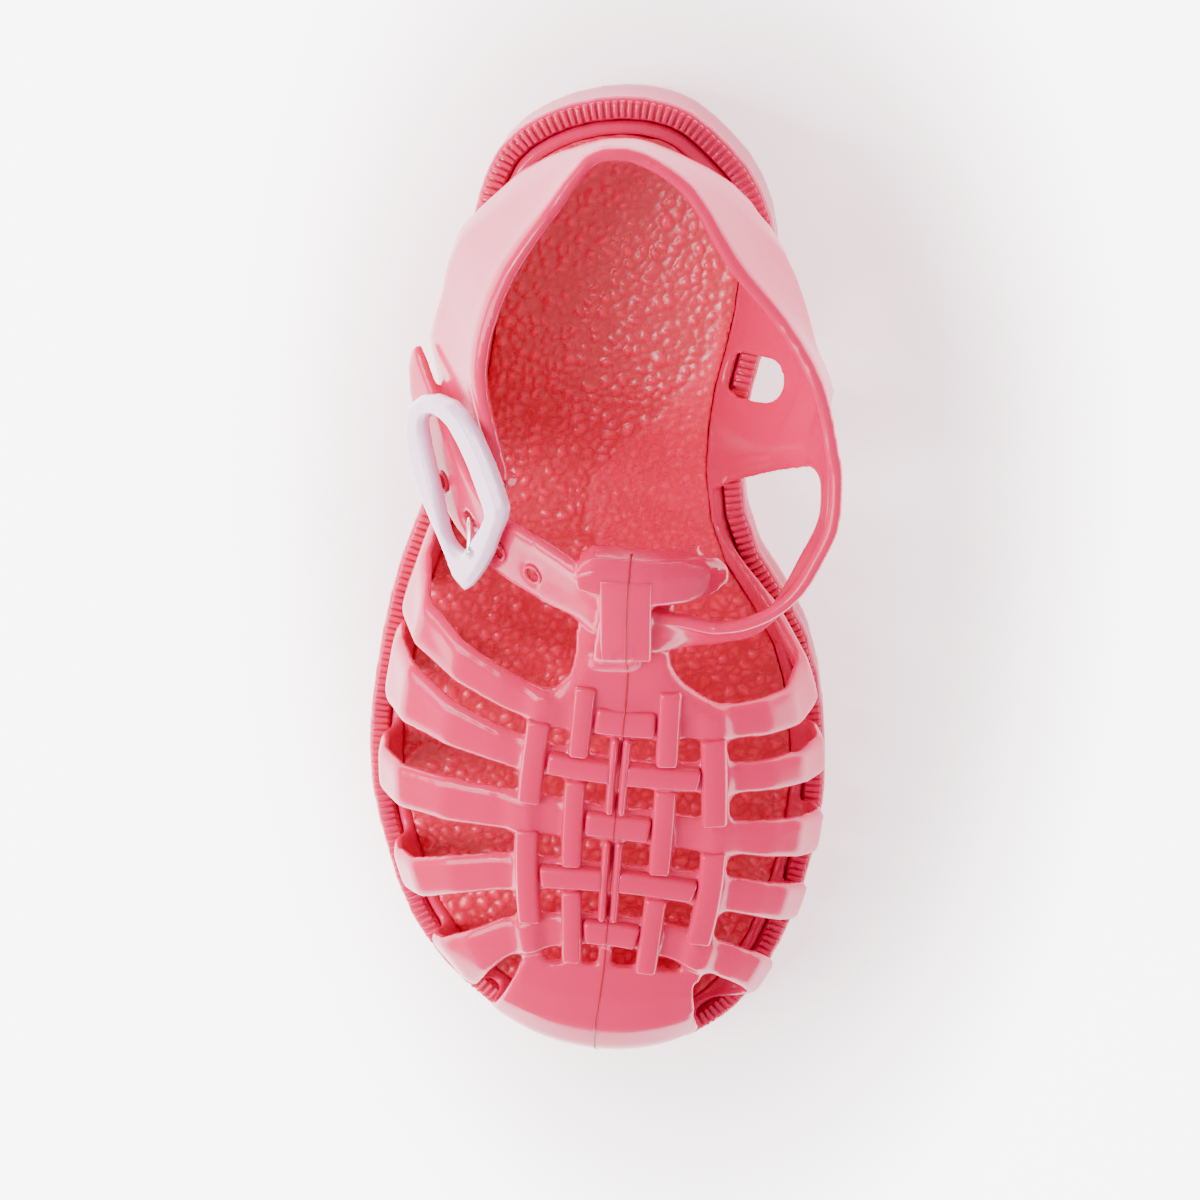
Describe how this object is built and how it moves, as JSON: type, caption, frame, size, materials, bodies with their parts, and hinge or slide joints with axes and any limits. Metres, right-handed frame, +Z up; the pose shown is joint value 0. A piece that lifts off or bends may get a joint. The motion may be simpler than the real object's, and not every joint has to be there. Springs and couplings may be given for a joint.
{
  "type": "jelly sandal",
  "caption": "Child's moulded jelly sandal for the right foot: woven strap upper, closed toe cap, heel wall, ankle strap, ribbed sole",
  "frame": {"origin": "on the floor under the middle of the shoe", "axes": "+Z up, heel towards +Y, toe towards -Y, inner side of the foot towards +X"},
  "size_m": [0.0838, 0.172, 0.058],
  "materials": {
    "jelly": "glossy translucent soft PVC",
    "footbed": "pebbled soft PVC",
    "buckle": "milky translucent hard plastic",
    "prong": "polished steel"
  },
  "bodies": {
    "root": {"sole": "jelly", "insole": "footbed", "upper": "jelly", "buckle_frame": "buckle", "buckle_prong": "prong"}
  },
  "joints": []
}
